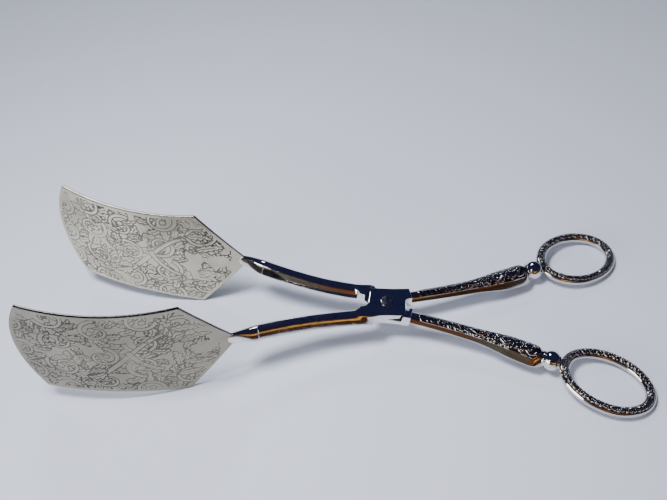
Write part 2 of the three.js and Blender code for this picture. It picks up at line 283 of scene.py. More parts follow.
class Ornament:
    """Overlapping outlined shapes drawn on a flat sheet in mm.
    """

    def __init__(self, low, high, pitch, reach):
        self.low, self.pitch, self.reach = np.array(low, float), pitch, reach
        size = np.ceil((np.array(high) - self.low) / pitch).astype(int) + 1
        self.owner = np.zeros(size, int)
        self.strokes = []
        self.rank = 0

    def shape(self, loop):
        """Fills and outlines a closed shape over whatever is already there."""
        self.rank += 1
        loop = np.asarray(loop, float)
        first = np.floor((loop.min(0) - self.low) / self.pitch).astype(int)
        last = np.ceil((loop.max(0) - self.low) / self.pitch).astype(int) + 1
        first = np.clip(first, 0, self.owner.shape)
        last = np.clip(last, 0, self.owner.shape)
        if (last <= first).any():
            return
        i, j = np.meshgrid(*(np.arange(a, b) for a, b in zip(first, last)), indexing="ij")
        x, y = self.low[0] + i * self.pitch, self.low[1] + j * self.pitch
        inside = inside_loop(x, y, loop)
        self.owner[i[inside], j[inside]] = self.rank
        self.line(np.vstack([loop, loop[:1]]))

    def line(self, path, thin=0.0):
        """A line of the last shape. thin narrows it by pushing it away from everything."""
        points = resample(path, self.pitch * 0.8)
        self.strokes.append((self.rank, points, thin))

    def cells(self, points):
        index = np.rint((points - self.low) / self.pitch).astype(int)
        return np.clip(index, 0, np.array(self.owner.shape) - 1)

    def finish(self):
        """Spreads each cell's nearest line point to its neighbours, as far as the reach."""
        size = self.owner.shape
        x = self.low[0] + self.pitch * np.arange(size[0])[:, None]
        y = self.low[1] + self.pitch * np.arange(size[1])[None]
        near = np.full((*size, 3), 1e3)
        for rank, points, thin in self.strokes:
            i, j = self.cells(points).T
            seen = self.owner[i, j] <= rank
            near[i[seen], j[seen]] = np.column_stack([points[seen], np.full(seen.sum(), thin)])

        def away(nearest):
            return np.hypot(x - nearest[..., 0], y - nearest[..., 1]) + nearest[..., 2]

        best = away(near)
        for _ in range(int(self.reach / self.pitch) + 1):
            for step in NEIGHBOURS:
                offer = np.roll(near, step, axis=(0, 1))
                gap = away(offer)
                closer = gap < best
                near[closer], best[closer] = offer[closer], gap[closer]
        self.distance = np.minimum(best, self.reach)
        return self

    def sample(self, field, x, y):
        """Reads a field between its cells."""
        u = np.clip((np.asarray(x) - self.low[0]) / self.pitch, 0, field.shape[0] - 1.001)
        v = np.clip((np.asarray(y) - self.low[1]) / self.pitch, 0, field.shape[1] - 1.001)
        i, j = u.astype(int), v.astype(int)
        p, q = u - i, v - j
        return ((field[i, j] * (1 - p) + field[i + 1, j] * p) * (1 - q)
                + (field[i, j + 1] * (1 - p) + field[i + 1, j + 1] * p) * q)

    def lines(self, x, y):
        return self.sample(self.distance, x, y)

    def signed(self, x, y):
        """The same distance, above zero inside the shapes and below zero outside."""
        return self.sample(np.where(self.owner > 0, self.distance, -self.distance), x, y)


def leaf(sheet, base, heading, length, width, curl, lobes, veins=True):
    """A lobed leaf that curls as it grows, with a midrib if it has veins."""
    t = np.linspace(0, 1, 49)
    turn = heading + curl * t ** 1.6
    forward = compass(turn)
    spine = np.asarray(base, float) + length / (len(t) - 1) * np.cumsum(forward, axis=0)
    body = width * np.sin(np.pi * np.clip(t, 0.02, 1) ** 0.7) ** 0.8
    lobe = np.abs(np.sin(np.pi * lobes * t)) ** 0.8
    reach = left_of(forward) * (body * (0.5 + 0.5 * lobe))[:, None]
    swept = spine + (body * 0.5 * lobe)[:, None] * forward
    sheet.shape(np.vstack([swept + reach, (swept - reach)[::-1]]))
    if veins:
        sheet.line(spine[3:36], thin=0.05)


def disc(sheet, centre, radius):
    sheet.shape(arc(centre, radius, 0, 2 * np.pi, 20, endpoint=False))


def stem(sheet, path, start_width, end_width):
    """A tapering band along a path."""
    path = resample(path, 0.4)
    half = np.linspace(start_width, end_width, len(path))[:, None]
    reach = left_of(unit_rows(np.gradient(path, axis=0))) * half
    sheet.shape(np.vstack([path + reach, (path - reach)[::-1]]))


def scroll(sheet, rng, centre, radius, start, sense, leaves=5):
    """A spiral stem with leaves thrown outwards and a berry at its eye."""
    turn = np.linspace(0, 2.3 * np.pi, 80)
    reach = radius * (1 - 0.74 * (turn / turn[-1]) ** 0.9)
    angle = start + sense * turn
    path = np.asarray(centre) + reach[:, None] * compass(angle)
    for k in np.linspace(1, 44, leaves).astype(int):
        outward = angle[k] + sense * rng.uniform(0.3, 0.8)
        length = radius * rng.uniform(0.85, 1.15)
        leaf(sheet, path[k], outward, length, length * rng.uniform(0.26, 0.35),
             sense * rng.uniform(1.0, 1.9), int(rng.integers(2, 5)))
    for k in (30, 46):
        leaf(sheet, path[k], angle[k] + np.pi, reach[k] * 0.8, radius * 0.17, -sense * 0.9, 2, False)
    stem(sheet, path, radius * 0.15, radius * 0.08)
    disc(sheet, path[-1], radius * 0.2)


# ---------------- blades
GROOVE = {"half_width": 0.42, "flat": 0.05, "depth": 0.16}
BLADE_ROWS = {"tang": 8, "slant": 62, "body": 184}
BLADE_COLUMNS = 173
EDGE_ROUND = 0.16
# the rounded edge: (how far out, in parts of EDGE_ROUND; how high, of the half thickness)
EDGE_SECTION = ((0.6, 0.9), (1, 0.55), (1, -0.55), (0.6, -0.9))
# where nothing is cut: along the edges, at the root, and an oval between the two root leaves
PLAIN = {"border": (1.7, 1.1), "root": (7.4, 6.0), "s": 12.5, "half_s": 5.0, "half_z": 4.0}
SCROLLS = {"first": 20.0, "gap": 15.4, "odd": (-23, -8.0, 8.0, 23), "even": (-15.8, 0, 15.8)}
FILLERS = 80
BERRIES = 26


def body_part(s):
    """How far a place is from the blade's shoulder to its tip, 0 to 1."""
    return np.clip((s - BLADE["shoulder_at"]) / (BLADE["tip_at"] - BLADE["shoulder_at"]), 0, 1)


def blade_half(s):
    """Half height of the blade's outline."""
    slant = BLADE["shoulder_at"] - BLADE["flare_at"]
    flare = BLADE["tang_half"] + (BLADE["shoulder_half"] - BLADE["tang_half"]) * np.clip(
        (s - BLADE["flare_at"]) / slant, 0, 1)
    part = body_part(s)
    waist = BLADE["waist"] * 4 * part * (1 - part)
    return flare + (BLADE["tip_half"] - BLADE["shoulder_half"]) * part - waist


def blade_place(arm, s):
    """Plan position of the sheet's middle at s, and the direction across the sheet."""
    root, heading = np.array(arm["root"]), arm["heading"]
    end = np.array([SHANK["end"][0], SHANK["end"][1] * arm["side"]])
    tang_heading = math.atan2(root[1] - end[1], end[0] - root[0])
    bowed = heading + np.maximum(s, 0) / BLADE["bow"]
    back = np.minimum(s, 0)
    x = root[0] - BLADE["bow"] * (np.sin(bowed) - math.sin(heading)) - back * math.cos(tang_heading)
    y = root[1] - BLADE["bow"] * (np.cos(bowed) - math.cos(heading)) + back * math.sin(tang_heading)
    facing = bowed + (tang_heading - bowed) * np.clip(0.5 - s, 0, 1)
    zero = np.zeros_like(facing)
    return np.stack([x, y, zero], -1), np.stack([np.sin(facing), np.cos(facing), zero], -1)


def engraving(seed):
    """The foliage cut into one blade: scrolls in staggered rows, stems crossing between them."""
    rng = np.random.default_rng(seed)
    sheet = Ornament((0, -28), (86, 28), pitch=0.12, reach=0.7)
    for _ in range(FILLERS):  # leaves that show only where the ground would be bare
        s, z = rng.uniform(6, 83), rng.uniform(-26, 26)
        leaf(sheet, (s, z), rng.uniform(0, 2 * np.pi), rng.uniform(7, 11), rng.uniform(1.6, 2.3),
             rng.uniform(-1.8, 1.8), 4)
    sense = 1
    for column, s in enumerate(np.arange(SCROLLS["first"], 90, SCROLLS["gap"])):
        for z in SCROLLS["odd" if column % 2 else "even"]:
            if abs(z) < blade_half(s) and (column or z):
                scroll(sheet, rng, (s + rng.uniform(-1, 1), z + rng.uniform(-1, 1)),
                       rng.uniform(6.4, 7.6), rng.uniform(0, 2 * np.pi), sense)
            sense = -sense
    for sign in (1, -1):  # the two leaves that bracket the plain ground at the root
        leaf(sheet, (22, sign * 6.5), np.pi - sign * 0.35, 12.5, 2.2, sign * 0.45, 5)
        leaf(sheet, (25, sign * 15), np.pi - sign * 0.1, 11, 2.2, sign * 0.6, 5)
    t = np.linspace(0, 1, 40)
    for root, low, high, tip in (((27, 13), (36, 9), (40, 0), (52, -12)),
                                 ((29, -10), (35, -8), (39, -3), (41, 3))):
        stem(sheet, bezier(t, root, low, high, tip), 0.9, 1.2)
    leaf(sheet, (51, -11), -0.9, 9, 2.2, 1.3, 4)
    leaf(sheet, (50, -10), 0.2, 8, 2.0, -1.2, 4)
    for _ in range(BERRIES):
        s, z = rng.uniform(8, 83), rng.uniform(-25, 25)
        disc(sheet, (s, z), rng.uniform(0.6, 0.95))
    return sheet.finish()


def engraved_distance(sheet, s, z, edge):
    """Distance to the nearest cut line, growing to nothing-cut where the sheet is plain."""
    oval = 1 - np.hypot((s - PLAIN["s"]) / PLAIN["half_s"], z / PLAIN["half_z"])
    bare = np.maximum.reduce([smoothstep(*PLAIN["border"], edge), smoothstep(0, 0.15, oval),
                              smoothstep(*PLAIN["root"], s)])
    return np.minimum(sheet.lines(s, z) + 0.5 * bare, sheet.reach)


def blade_grid():
    """Places on a flat face: along it, up it, and how far inside the outline."""
    tang = np.linspace(EDGE_ROUND - BLADE["tang"], BLADE["flare_at"], BLADE_ROWS["tang"],
                       endpoint=False)
    slant = np.linspace(BLADE["flare_at"], BLADE["shoulder_at"], BLADE_ROWS["slant"], endpoint=False)
    body = np.linspace(BLADE["shoulder_at"], BLADE["tip_at"] - EDGE_ROUND, BLADE_ROWS["body"])
    row = np.concatenate([tang, slant, body])
    share = np.linspace(-1, 1, BLADE_COLUMNS)
    half = blade_half(row)
    slope = np.hypot(1, np.gradient(half, row))
    s = row[:, None] + BLADE["tip_bulge"] * body_part(row)[:, None] * (1 - share ** 2)
    z = np.maximum(half - EDGE_ROUND * slope, 0.5)[:, None] * share
    edge = np.minimum((half[:, None] - np.abs(z)) / slope[:, None],
                      BLADE["tip_at"] + BLADE["tip_bulge"] * (1 - share ** 2) - s)
    return s, z, edge


def border_of(grid_shape):
    """Indices round the border of a sheet of points, in order."""
    index = np.arange(np.prod(grid_shape)).reshape(grid_shape)
    return np.concatenate([index[0, :-1], index[:-1, -1], index[-1, :0:-1], index[:0:-1, 0]])


def blade(arm, sheet):
    """A bowed sheet with the ornament cut in both faces and a rounded edge all round."""
    s, z, edge = blade_grid()
    face, border = grid_quads(*s.shape), border_of(s.shape)
    s, z, edge = s.ravel(), z.ravel(), edge.ravel()
    away = engraved_distance(sheet, s, z, edge)
    cut = GROOVE["depth"] * smoothstep(GROOVE["half_width"], GROOVE["flat"], away)
    loop = np.stack([s[border], z[border]], axis=1)
    outward = -left_of(unit_rows(np.roll(loop, -1, axis=0) - np.roll(loop, 1, axis=0)))
    if (outward * (loop - loop.mean(0))).sum() < 0:
        outward = -outward
    thick = BLADE["half_thickness"]
    layers = [(s, z, thick - cut)]
    for reach, height in EDGE_SECTION:
        moved = loop + outward * EDGE_ROUND * reach
        layers.append((moved[:, 0], moved[:, 1], np.full(len(loop), height * thick)))
    layers.append((s, z, cut - thick))
    points = []
    for along, up, off in layers:
        middle, across = blade_place(arm, along)
        points.append(middle + across * off[:, None] + np.outer(up, UP))
    starts = len(s) + len(loop) * np.arange(len(EDGE_SECTION) + 1)
    strips = [border, *(start + np.arange(len(loop)) for start in starts[:-1]), starts[-1] + border]
    sides = [np.stack([a, b, np.roll(b, -1), np.roll(a, -1)], axis=1)
             for a, b in zip(strips, strips[1:])]
    quads = np.concatenate([face[:, ::-1], *sides, face + starts[-1]])
    uncut = np.full(starts[-1] - len(s), sheet.reach)
    long_edge = smoothstep(BLADE["shoulder_at"], BLADE["shoulder_at"] + 1.5, loop[:, 0])
    dark_rim = np.tile(1 - (1 - arm["long_rim"]) * long_edge, len(EDGE_SECTION))
    return build_piece(f"{arm['name']}_blade_sheet", np.concatenate(points), quads,
                       engraved=np.concatenate([away, uncut, away]),
                       rim=np.concatenate([0 * s, dark_rim, 0 * s]))


# ---------------- curves of an arm
def shank_path(side, t):
    return bezier(t, *((x, y * side, 0) for x, y in (SHANK["inside"], SHANK["bend"], SHANK["end"])))


def handle_path(side, t):
    (x0, y0), (x1, y1) = HANDLE["start"], HANDLE["end"]
    third = (x1 - x0) / 3
    start, end = np.array([x0, -side * y0, 0]), np.array([x1, -side * y1, HANDLE["rise"]])
    leave = start + [third, -side * third * HANDLE["start_slope"], 0]
    arrive = end - [third, -side * third * HANDLE["end_slope"], HANDLE["rise"] / 2]
    return bezier(t, start, leave, arrive, end)


def handle_fraction(x):
    t = np.linspace(0, 1, 400)
    return float(np.interp(x, handle_path(1, t)[:, 0], t))


# ---------------- arms
ARM_CELL = 0.2
COARSE_BLOCK = 4  # grid cells along a block that is measured roughly
FILLET = {"shank": 1.9, "lug": 1.8}
EDGE_SOFT = 0.6
END_SOFT = 0.15
CUT_SOFT = 0.12
HOLE_SLOPE = 0.7  # the countersink's slant, which makes its radial gap too long a distance
BARS_STOP = {"shank": -3, "lug": 2}  # X where the two bars end inside the hub
SHANK_SECTION = {"half_width": 3.7, "top": 2.7, "rise": 3.8}
LUG_SECTION = {"half_width": 2.65, "top": 2.45, "rise": 2.9}
# X where a bar starts to climb to the hub's top, and X where it has reached it
SHANK_CLIMB = (-26, -10)
LUG_CLIMB = (LUG["end"] - 0.4, LUG["end"] - 4)


def hub_outline():
    """Plan of the hub for an arm whose blade is on the -Y side, flipped to +Y up."""
    x, y, r = HUB["half_length"], HUB["half_width"], HUB["corner"]
    shank_in = shank_path(-1, np.array([SHANK_JOIN]))[0]
    t = handle_fraction(LUG["end"])
    lug, ahead = handle_path(-1, np.array([t, t + 0.01]))[:, :2]
    flank = LUG["radius"] * unit_rows(left_of(ahead - lug))
    curve = np.linspace(0, 1, 8)
    return np.concatenate([
        arc((r - x, y - r), r, np.pi, np.pi / 2),
        bezier(curve, (r - x, y), (x / 2, y), lug + flank),
        bezier(curve, lug - flank, (x, (lug - flank)[1]), (x, 0)),
        arc((x - r, r - y), r, 0, -np.pi / 2),
        bezier(curve, (x - r, -y), (0, -y), (-x, -y - ARMPIT)),
        [shank_in[:2]],
        arc((CROTCH["centre"], 0), CROTCH["radius"], -np.pi / 2, 0),
    ])


HUB_OUTLINE = hub_outline()


def outline_distance(plan, loop):
    """Signed distance to a closed outline, below zero inside."""
    x, y = plan.T
    nearest = np.full(x.shape, 1e9)
    for (x0, y0), (x1, y1) in sides_of(loop):
        dx, dy = x1 - x0, y1 - y0
        length = dx * dx + dy * dy
        if length < 1e-12:
            continue
        t = np.clip(((x - x0) * dx + (y - y0) * dy) / length, 0, 1)
        nearest = np.minimum(nearest, (x - x0 - t * dx) ** 2 + (y - y0 - t * dy) ** 2)
    return np.where(inside_loop(x, y, loop), -1, 1) * np.sqrt(nearest)


def beside(p, start, bend, end):
    """Plan distance from points to a quadratic Bezier curve that runs mostly along X."""
    start, bend, end = (np.asarray(v, float)[:2] for v in (start, bend, end))
    q = p[..., :2]
    slope, curve = 2 * (bend - start), start - 2 * bend + end
    t = (q[..., 0] - start[0]) / (end[0] - start[0])

    def gap_at(t):
        return start + slope * t[..., None] + curve * (t * t)[..., None] - q

    for _ in range(4):
        gap = gap_at(t)
        rate = slope + 2 * curve * t[..., None]
        t = t - (gap * rate).sum(-1) / ((rate * rate).sum(-1) + 2 * (gap * curve).sum(-1))
        t = np.clip(t, -0.02, 1.1)
    gap = gap_at(t)
    return np.sqrt((gap * gap).sum(-1))


def climbing_bar(p, line, section, climb):
    """Signed distance of an arched bar along a curve, which climbs to the hub's top."""
    half_width, top, rise = section["half_width"], section["top"], section["rise"]
    z = p[..., 2] - (HUB["top"] - top) * smoothstep(*climb, p[..., 0])
    away = beside(p, *line)
    arch = (z - top + rise * (away / half_width) ** 2) / np.sqrt(
        1 + (2 * rise * away / half_width ** 2) ** 2)
    return smooth_max(arch, top - rise - ARCH["foot"] - z, EDGE_SOFT)


def arm_field(p, level):
    """Signed distance of an arm whose shank runs towards -Y and handle lug towards +Y."""
    x, y, z = p[..., 0], p[..., 1], p[..., 2]
    slab = np.abs(z) - HUB["top"]
    plan, where = np.unique(np.round(p[..., :2].reshape(-1, 2), 6), axis=0, return_inverse=True)
    outline = outline_distance(plan, HUB_OUTLINE)[where].reshape(x.shape)
    hub = smooth_max(outline, slab, EDGE_SOFT)
    start, cut_end, end = shank_path(-1, np.array([0, 0.99, 1.0]))
    bend = (SHANK["bend"][0], -SHANK["bend"][1])
    shank = climbing_bar(p, (start, bend, end), SHANK_SECTION, SHANK_CLIMB)
    shank = np.maximum(shank, x - BARS_STOP["shank"])
    t = handle_fraction(LUG["end"])
    lug_line = handle_path(-1, np.array([0, t / 2, t, t + 0.01]))
    lug = np.maximum(climbing_bar(p, lug_line[:3], LUG_SECTION, LUG_CLIMB), BARS_STOP["lug"] - x)
    body = smooth_min(smooth_min(hub, shank, FILLET["shank"]), lug, FILLET["lug"])
    body = smooth_max(body, slab, EDGE_SOFT)
    for cut, beyond in ((cut_end, end), lug_line[2:]):
        body = smooth_max(body, (p - cut) @ unit_rows(beyond - cut), END_SOFT)
    return without_lap_and_hole(body, np.hypot(x, y), z, level)


def without_lap_and_hole(body, radial, z, level):
    """Cuts the other arm's half of the lap and the rivet's hole, countersunk if it is on top."""
    lap = np.maximum(radial - LAP_RADIUS, level * z - LAP_GAP / 2)
    cone = (RIVET["head"] - RIVET["shank"]) / RIVET["head_depth"] * (level > 0)
    countersink = np.maximum(z - HUB["top"] + RIVET["head_depth"], 0) * cone
    hole = (radial - RIVET["shank"] - PIN_PLAY - countersink) * HOLE_SLOPE
    return smooth_max(smooth_max(body, -lap, CUT_SOFT), -hole, CUT_SOFT)


def field_on_grid(field, low, high, cell):
    """The field on a grid, measured exactly only near the surface and elsewhere in blocks."""
    grid = np.stack(np.meshgrid(*(np.arange(a, b + cell, cell) for a, b in zip(low, high)),
                                indexing="ij"), -1)
    values = field(grid[::COARSE_BLOCK, ::COARSE_BLOCK, ::COARSE_BLOCK])
    for axis in range(3):
        values = values.repeat(COARSE_BLOCK, axis)
    values = values[:grid.shape[0], :grid.shape[1], :grid.shape[2]].copy()
    near = np.abs(values) < COARSE_BLOCK * cell * 1.8
    values[near] = field(grid[near])
    return values


def crossings(values):
    """How many edges of each grid cell the surface crosses, and the mean of the places."""
    size = np.array(values.shape) - 1
    total, count = np.zeros((*size, 3)), np.zeros(size)

    def at(corner):
        return values[tuple(slice(o, o + n) for o, n in zip(corner, size))]

    for corner in itertools.product((0, 1), repeat=3):
        for axis in np.flatnonzero(np.array(corner) == 0):
            towards = np.eye(3, dtype=int)[axis]
            here, there = at(corner), at(corner + towards)
            crossed = (here < 0) != (there < 0)
            part = np.where(crossed, here / np.where(crossed, here - there, 1), 0)
            spot = corner + part[..., None] * towards
            total += np.where(crossed[..., None], spot, 0)
            count += crossed
    return count, total / np.maximum(count, 1)[..., None]


def surface_net(field, low, high, cell):
    """A closed quad mesh where the field crosses zero."""
    values = field_on_grid(field, low, high, cell)
    inside = values < 0
    count, middle = crossings(values)
    used = count > 0
    number = np.full(used.shape, -1)
    number[used] = np.arange(used.sum())
    points = np.array(low) + cell * (np.argwhere(used) + middle[used])
    quads = []
    for axis in range(3):
        u, v = np.eye(3, dtype=int)[[(axis + 1) % 3, (axis + 2) % 3]]
        first, second = np.delete(inside, -1, axis), np.delete(inside, 0, axis)
        edge = np.argwhere(first != second)
        edge = edge[(edge @ u > 0) & (edge @ v > 0)]
        quad = np.stack([number[tuple((edge - back).T)] for back in (0 * u, u, u + v, v)], axis=1)
        flip = second[tuple(edge.T)]
        quad[flip] = quad[flip][:, ::-1]
        quads.append(quad)
    return points, np.concatenate(quads)


def gradient(field, p, step=0.02):
    offsets = np.eye(3) * step
    return np.stack([(field(p + o) - field(p - o)) / (2 * step) for o in offsets], -1)


def arm_forging(arm):
    """Shank, half-lap hub and handle lug in one smooth body."""
    def field(p):
        return arm_field(p, arm["level"])

    # a box with a little room round the arm
    low = (SHANK["end"][0] - 3.0, -SHANK["end"][1] - 4.8, -HUB["top"] - 0.6)
    high = (LUG["end"] + 3.0, 10.5, HUB["top"] + 0.6)
    points, quads = surface_net(field, low, high, ARM_CELL)
    for _ in range(2):  # draws the points on to the surface
        slope = gradient(field, points)
        off = field(points)[:, None] * slope / np.maximum((slope ** 2).sum(1), 0.3)[:, None]
        points = points - np.clip(off, -0.1, 0.1)
    normals = unit_rows(gradient(field, points, 0.05))
    flip = np.array([1, -arm["side"], 1])
    return build_piece(f"{arm['name']}_arm_forging", points * flip, quads, normals=normals * flip)


# ---------------- necks that carry the blades
SLEEVE = {"overlap": 0.35, "proud": 0.035}
NECK_SEAM = (0.97, 0.992)  # sizes of the first two rings of the neck, for a hairline step
NOSE = {"part": 0.2, "closed": 0.985}  # how the neck's end closes down on to the sheet


def blade_neck(arm):
    """The neck: arched like the shank at its seam, a thin upright fork on the blade."""
    start = shank_path(arm["side"], np.array([0.99, 1.0]))
    leave = unit_rows(start[1] - start[0])
    reach, facing = blade_place(arm, np.array([SOCKET["reach"] + 0.6]))
    arrive = np.array([-facing[0, 1], facing[0, 0], 0])
    begin = start[1] - leave * SLEEVE["overlap"]
    span = np.linalg.norm(reach[0] - begin)
    handles = (begin, begin + leave * span / 3, reach[0] - arrive * span / 3, reach[0])
    t = np.concatenate([[0, 0, 0.004], np.linspace(0.02, 1, 64)])
    path = bezier(t, *handles)
    across, upward = frames_along(bezier(t + np.arange(len(t)) * 1e-6, *handles))
    waist = np.sin(np.pi * t) * (SHANK["radius"] - SOCKET["waist"])
    top, proud = SHANK_SECTION["top"], SLEEVE["proud"]
    x, z = arched_section(SHANK_SECTION["half_width"] + proud, top + proud - waist,
                          top - SHANK_SECTION["rise"] - proud)
    angle = np.concatenate([np.linspace(0, np.pi, ARCH["top_points"]),
                            under_side(ARCH["low_points"])])
    ease = smoothstep(0, 1, t)[:, None]
    x = x + (SOCKET["tip_half_width"] * np.cos(angle) - x) * ease
    z = z + (SOCKET["tip_half_height"] * np.sin(angle) - z) * ease
    close = np.ones(len(t))
    close[:2] = NECK_SEAM
    nose = np.clip((1 - t) / NOSE["part"], 0, 1)
    close *= np.sqrt(1 - (1 - nose) ** 2 * NOSE["closed"])
    rings = rings_along(path, across, upward, x * close[:, None], z * close[:, None])
    return build_tube(f"{arm['name']}_blade_neck", rings)


# ---------------- handles
HANDLE_ROWS = 340
HANDLE_SEAM = (0.97, 0.995)  # and of the first two rings of the handle
HANDLE_END = {"length": 0.9, "rows": 14}  # closely spaced rings round the handle's end
DOME = {"steepness": 0.86, "lift": 0.75, "spread": 0.3, "reach": 1.012}
PANEL = {"from": 4.2, "to": 2.6, "share": 0.6, "recess": 0.16, "rise": 0.33, "bead": 0.15,
         "shallowest": 0.4, "deepest_at": 27.0}


def handle_panel():
    """The relief on a handle: distance along it by distance across it, mm."""
    rng = np.random.default_rng(5)
    sheet = Ornament((0, -5), (58, 5), pitch=0.08, reach=0.6)
    for _ in range(190):  # small leaves that fill the ground
        leaf(sheet, (rng.uniform(1, 50), rng.uniform(-3.5, 3.5)), rng.uniform(0, 2 * np.pi),
             rng.uniform(1.9, 2.8), rng.uniform(0.42, 0.6), rng.uniform(-1.5, 1.5), 2, veins=False)

    def swing(s):
        return (0.5 + 1.3 * smoothstep(18, 44, s)) * np.sin((s - 3) * 2 * np.pi / 11)

    for s in np.arange(3.5, 46, 2.75):
        grow = 0.65 + 0.75 * smoothstep(12, 42, s)
        for way in (1, -1):
            leaf(sheet, (s + rng.uniform(-0.5, 0.5), swing(s)), way * rng.uniform(0.35, 1.0),
                 rng.uniform(3.0, 3.8) * grow, rng.uniform(0.75, 0.95) * grow,
                 way * rng.uniform(0.4, 1.9), int(rng.integers(2, 4)), veins=grow > 1)
    along = np.linspace(3, 47, 200)
    stem(sheet, np.stack([along, swing(along)], axis=1), 0.24, 0.42)
    for s in np.arange(6, 45, 5.5):
        disc(sheet, (s, -np.sign(swing(s)) * (0.8 + 0.9 * smoothstep(20, 44, s))), 0.45)
    scroll(sheet, rng, (48.6, 0), 2.9, 0.4, 1, leaves=7)
    return sheet.finish()


def smooth_through(x, knots, values):
    """A smooth curve through values at uneven knots, level at the last one."""
    values, knots = np.asarray(values, float), np.asarray(knots, float)
    slope = np.gradient(values, knots)
    slope[-1] = 0
    x = np.clip(x, 0, 1)
    i = np.clip(np.searchsorted(knots, x, side="right") - 1, 0, len(knots) - 2)
    width = knots[i + 1] - knots[i]
    t = (x - knots[i]) / width
    return ((1 + 2 * t) * (1 - t) ** 2 * values[i] + t * (1 - t) ** 2 * width * slope[i]
            + t * t * (3 - 2 * t) * values[i + 1] + t * t * (t - 1) * width * slope[i + 1])


def handle_sizes(share):
    """Half width and half height at a share of the handle's length, its end domed."""
    last = HANDLE["at"][-1]
    drop = np.sqrt(np.clip(1 - (np.maximum(share - last, 0) / (1 - last)) ** 2, 0, 1))
    shoulder = smoothstep(0.45, 0.8, share) * smoothstep(1.0, 0.94, share)
    sizes = []
    for key, tip, more in (("half_width", HANDLE["tip"][0], DOME["spread"]),
                           ("half_height", HANDLE["tip"][1], DOME["lift"])):
        body = smooth_through(share / last, np.array(HANDLE["at"]) / last, HANDLE[key])
        plain = np.where(share <= last, body, tip + (HANDLE[key][-1] - tip) * drop)
        sizes.append(plain + more * shoulder)
    return sizes


def panel_mask(s, lateral, length):
    """1 on the sunk panel of a handle, 0 on its smooth border, with pointed ends."""
    end = length - PANEL["to"]
    return (smoothstep(PANEL["share"] + 0.05, PANEL["share"] - 0.04, lateral)
            * smoothstep(PANEL["from"] - 0.8, PANEL["from"] + 0.4, s - 3.0 * lateral ** 2)
            * smoothstep(end + 0.8, end - 0.2, s + 4.5 * lateral ** 2))


def handle_grip(arm, sheet):
    """An arched handle with a sunk panel of foliage along its top, inside a smooth border."""
    start = handle_fraction(LUG["end"] - SLEEVE["overlap"])
    path = handle_path(arm["side"], np.linspace(start, DOME["reach"], 300))
    run = run_along(path)
    length = run[-1]
    rounded_end = length - HANDLE_END["length"] * np.linspace(1, 0, HANDLE_END["rows"])[1:] ** 2
    s = np.concatenate([[0, 0, 0.08], np.linspace(0.3, length - 1.0, HANDLE_ROWS), rounded_end])
    half_width, half_height = handle_sizes(s / length)
    x, z = arched_section(half_width, half_height, half_height - DOME["steepness"] * half_width)
    close = np.ones((len(s), 1))
    close[:2, 0] = HANDLE_SEAM
    x, z = x * close, z * close
    lateral = np.abs(np.concatenate([np.linspace(1, -1, ARCH["top_points"]),
                                     np.ones(ARCH["low_points"])]))
    column = s[:, None]
    in_panel = panel_mask(column, lateral, length)
    raised = smoothstep(-0.1, 0.3, sheet.signed(np.broadcast_to(column, x.shape), x))
    bead = np.exp(-((in_panel - 0.35) / 0.25) ** 2) * (in_panel > 0.01)
    least = PANEL["shallowest"]
    depth = least + (1 - least) * smoothstep(PANEL["from"], PANEL["deepest_at"], column)
    x, z = push_out(x, z, depth * in_panel * (PANEL["rise"] * raised - PANEL["recess"])
                    + PANEL["bead"] * bead)
    rings = rings_along(*(follow(run, points, s) for points in (path, *frames_along(path))), x, z)
    return build_tube(f"{arm['name']}_handle_relief", rings, relief=1 - in_panel * (1 - raised))


# ---------------- knops
TURNED_SIDES = 72


def bead(radius, low, width):
    """(radius, distance along) round the outside of a narrow turned bead."""
    soft = min(width / 2, KNOP["softest"])
    return [(radius - soft + soft * math.cos(a), low + width / 2 * (1 + math.sin(a)))
            for a in np.linspace(-np.pi / 2, np.pi / 2, 13)]


def knop_profile(half):
    """(radius, distance along) of a ball between a collar on the handle and a narrow reel."""
    ball, centre = KNOP["ball"], KNOP["centre"]
    start, end = KNOP["collar_width"] - half, half - KNOP["reel_width"]
    swept = np.linspace(math.pi - math.acos((centre - start) / ball),
                        math.acos((end - centre) / ball), 44)
    middle = [(ball * math.sin(a), centre + ball * math.cos(a)) for a in swept]
    return np.array([(1.0, -half), *bead(KNOP["collar"], -half, KNOP["collar_width"]), *middle,
                     *bead(KNOP["reel"], end, KNOP["reel_width"]), (1.0, half)])


def turned(profile, middle, along, across, upward):
    """Rings of points from a (radius, distance along) profile turned about a line."""
    profile = np.asarray(profile, float)
    circle = compass(np.linspace(0, 2 * np.pi, TURNED_SIDES, endpoint=False))
    return (middle + profile[:, None, 1:] * along
            + profile[:, None, :1] * (circle @ np.stack([across, upward])))


def ring_place(side, local):
    """A finger ring's own points, laid in the arms' plane."""
    turn = -side * RING["turn"]
    cos, sin = math.cos(turn), math.sin(turn)
    x, y, z = local[..., 0], local[..., 1], local[..., 2]
    return np.stack([RING["centre"][0] + x * cos - y * sin,
                     -side * RING["centre"][1] + x * sin + y * cos, RING["rise"] + z], -1)


def knop(arm):
    """The ball between handle and ring, its ends just inside both."""
    start = handle_path(arm["side"], np.array([1.0]))[0]
    end = ring_place(arm["side"], np.array([-RING["long"], 0.0, 0.0]))
    span = np.linalg.norm(end - start)
    along = (end - start) / span
    across = unit_rows(np.cross(along, UP))
    rings = turned(knop_profile(span / 2 + 0.12), (start + end) / 2, along, across,
                   np.cross(across, along))
    return build_tube(f"{arm['name']}_knop_turned", rings)


# ---------------- finger rings
RING_STEPS = 430
LAUREL = {"period": 3.05, "share": 0.72, "recess": 0.2, "rise": 0.38, "arch": 1.75}


